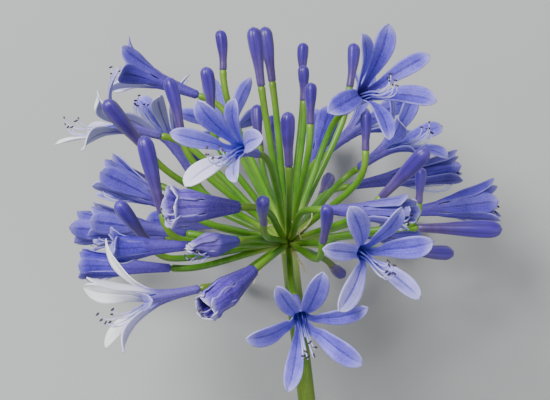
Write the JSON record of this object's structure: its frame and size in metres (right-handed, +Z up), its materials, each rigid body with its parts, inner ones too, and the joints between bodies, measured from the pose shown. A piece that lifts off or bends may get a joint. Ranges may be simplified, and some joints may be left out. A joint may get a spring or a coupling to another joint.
{
  "type": "agapanthus flower stem",
  "caption": "Cut flowering stem of agapanthus: a round head of open blue flowers, trumpets and buds on green stalks, lying on a surface.",
  "frame": {"origin": "middle of the lying stem's bounding box, on the surface it lies on", "axes": "+Z up from the surface, +Y along the stalk from its cut foot to the flower head, +X to the right for a viewer who looks down on it from the foot's end"},
  "size_m": [0.1744, 0.3738, 0.178],
  "materials": {
    "open_petals": "thin waxy petal, satin",
    "young_petals": "thin waxy petal, satin",
    "spent_petals": "limp petal, dull satin",
    "bud_skin": "smooth waxy bud, satin",
    "green_stalk": "smooth green stalk, satin"
  },
  "bodies": {
    "root": {"bud_01": "bud_skin", "bud_02": "bud_skin", "bud_03": "bud_skin", "bud_04": "bud_skin", "bud_05": "bud_skin", "bud_06": "bud_skin", "bud_07": "bud_skin", "bud_08": "bud_skin", "bud_09": "bud_skin", "bud_10": "bud_skin", "bud_11": "bud_skin", "bud_12": "bud_skin", "bud_13": "bud_skin", "bud_14": "bud_skin", "bud_15": "bud_skin", "bud_16": "bud_skin", "bud_17": "bud_skin", "bud_18": "bud_skin", "bud_19": "bud_skin", "bud_20": "bud_skin", "bud_21": "bud_skin", "bud_22": "bud_skin", "bud_23": "bud_skin", "bud_24": "bud_skin", "bud_25": "bud_skin", "bud_26": "bud_skin", "bud_27": "bud_skin", "bud_28": "bud_skin", "flower_01": "open_petals", "flower_02": "open_petals", "flower_03": "open_petals", "flower_04": "open_petals", "flower_05": "open_petals", "flower_06": "open_petals", "flower_07": "open_petals", "flower_08": "open_petals", "flower_09": "open_petals", "flower_10": "open_petals", "half_open_flower_01": "young_petals", "half_open_flower_02": "young_petals", "half_open_flower_03": "young_petals", "half_open_flower_04": "young_petals", "half_open_flower_05": "young_petals", "half_open_flower_06": "young_petals", "half_open_flower_07": "young_petals", "half_open_flower_08": "young_petals", "half_open_flower_09": "young_petals", "half_open_flower_10": "young_petals", "half_open_flower_11": "young_petals", "half_open_flower_12": "young_petals", "spent_flower_01": "spent_petals", "spent_flower_02": "spent_petals", "spent_flower_03": "spent_petals", "stalk_and_pedicels": "green_stalk"}
  },
  "joints": []
}
